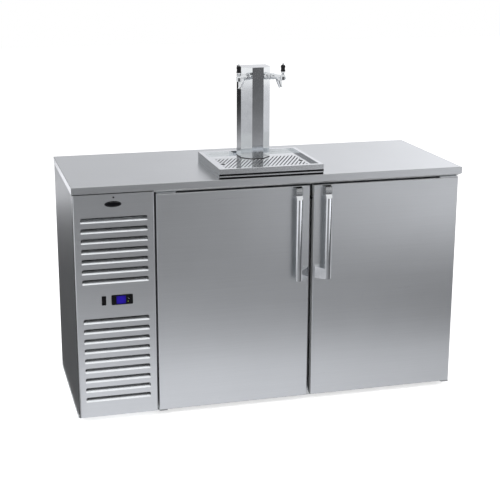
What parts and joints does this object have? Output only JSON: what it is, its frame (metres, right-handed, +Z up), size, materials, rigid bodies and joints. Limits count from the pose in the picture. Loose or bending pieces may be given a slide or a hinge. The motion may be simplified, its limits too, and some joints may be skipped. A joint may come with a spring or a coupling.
{
  "type": "kegerator",
  "caption": "Stainless direct-draw beer cooler: louvred machine bay with controls, hinged doors over a cold keg space, and a faucet tower standing in a drip tray on the worktop.",
  "frame": {"origin": "on the floor, under the middle of the worktop's length and depth", "axes": "+X to the right seen from the front, -Y out of the doors' fronts, +Z up"},
  "size_m": [1.524, 0.6496, 1.3184],
  "materials": {
    "stainless": "satin brushed stainless sheet",
    "polished": "polished stainless and chrome plate",
    "liner_white": "moulded white plastic",
    "foam": "rigid insulating foam between skins",
    "gasket_black": "soft extruded seal",
    "black_plastic": "fine satin black moulding",
    "knob_black": "glossy black moulding",
    "display_blue": "lit blue display window",
    "galvanised": "zinc coated sheet",
    "fins": "bare aluminium fins",
    "compressor_black": "semi-gloss black enamel",
    "line_clear": "translucent beer hose"
  },
  "bodies": {
    "cabinet": {"base_frame": "galvanised", "beer_lines": "line_clear", "centre_mullion": "stainless", "compressor": "compressor_black", "condenser_coil": "fins", "controller_bezel": "black_plastic", "cord_gland": "gasket_black", "display_window": "display_blue", "door_frame": "stainless", "drip_tray": "stainless", "evaporator_housing": "liner_white", "fan_motor": "galvanised", "fan_shroud": "black_plastic", "grille_panel": "stainless", "grille_screw": "stainless", "inner_liner": "liner_white", "insulated_back": "foam", "insulated_ceiling": "foam", "insulated_divider": "foam", "insulated_floor": "foam", "insulated_right_wall": "foam", "left_coupling_nut": "polished", "left_faucet_body": "polished", "left_shank": "polished", "left_side_panel": "stainless", "lower_hinges": "stainless", "oval_badge": "black_plastic", "rear_panel": "galvanised", "right_coupling_nut": "polished", "right_faucet_body": "polished", "right_shank": "polished", "right_side_panel": "stainless", "switch_bezel": "black_plastic", "tower_cap": "polished", "tower_column": "polished", "tower_deck": "stainless", "tower_gasket": "gasket_black", "tray_seal": "gasket_black", "unit_tray": "galvanised", "upper_hinges": "stainless", "worktop": "stainless"},
    "left_door": {"left_door_panel": "stainless", "left_door_liner": "liner_white", "left_door_gasket": "gasket_black", "left_door_handle": "polished"},
    "left_tap": {"left_faucet_lever": "polished", "left_tap_knob": "knob_black"},
    "right_door": {"right_door_panel": "stainless", "right_door_liner": "liner_white", "right_door_gasket": "gasket_black", "right_door_handle": "polished"},
    "right_tap": {"right_faucet_lever": "polished", "right_tap_knob": "knob_black"},
    "drip_grate_body": {"drip_grate": "stainless"},
    "power_rocker_body": {"power_rocker": "black_plastic"},
    "set_button_body": {"set_button": "black_plastic"},
    "up_button_body": {"up_button": "black_plastic"},
    "down_button_body": {"down_button": "black_plastic"},
    "condenser_fan_body": {"condenser_fan": "black_plastic"},
    "evaporator_fan_body": {"evaporator_fan": "liner_white"}
  },
  "joints": [
    {"name": "left_door_swing", "type": "hinge", "parent": "cabinet", "child": "left_door", "pos_m": [-0.442, -0.2928, 0.4], "axis": [0, 0, -1], "range_deg": [0, 105]},
    {"name": "right_door_swing", "type": "hinge", "parent": "cabinet", "child": "right_door", "pos_m": [0.7353, -0.2928, 0.4], "axis": [0, 0, 1], "range_deg": [0, 105]},
    {"name": "left_tap_tilt", "type": "hinge", "parent": "cabinet", "child": "left_tap", "pos_m": [-0.09522, -0.13184, 1.2744], "axis": [0.7071, -0.7071, 0], "range_deg": [0, 35]},
    {"name": "right_tap_tilt", "type": "hinge", "parent": "cabinet", "child": "right_tap", "pos_m": [0.07922, -0.13184, 1.2744], "axis": [0.7071, 0.7071, 0], "range_deg": [0, 35]},
    {"name": "power_rocker_tip", "type": "hinge", "parent": "cabinet", "child": "power_rocker_body", "pos_m": [-0.6565, -0.308, 0.48405], "axis": [1, 0, 0], "range_deg": [0, 22]},
    {"name": "set_button_press", "type": "slide", "parent": "cabinet", "child": "set_button_body", "axis": [0, 1, 0], "range_m": [0, 0.0012], "stiffness_N_per_m": 400, "springref_m": -0.0005},
    {"name": "up_button_press", "type": "slide", "parent": "cabinet", "child": "up_button_body", "axis": [0, 1, 0], "range_m": [0, 0.0012], "stiffness_N_per_m": 400, "springref_m": -0.0005},
    {"name": "down_button_press", "type": "slide", "parent": "cabinet", "child": "down_button_body", "axis": [0, 1, 0], "range_m": [0, 0.0012], "stiffness_N_per_m": 400, "springref_m": -0.0005},
    {"name": "grate_lift", "type": "slide", "parent": "cabinet", "child": "drip_grate_body", "axis": [0, 0, 1], "range_m": [0, 0.08]},
    {"name": "condenser_fan_spin", "type": "hinge", "parent": "cabinet", "child": "condenser_fan_body", "pos_m": [-0.6099, -0.216, 0.19], "axis": [0, 1, 0], "continuous": true},
    {"name": "evaporator_fan_spin", "type": "hinge", "parent": "cabinet", "child": "evaporator_fan_body", "pos_m": [-0.35, 0.02, 0.6772], "axis": [1, 0, 0], "continuous": true}
  ]
}
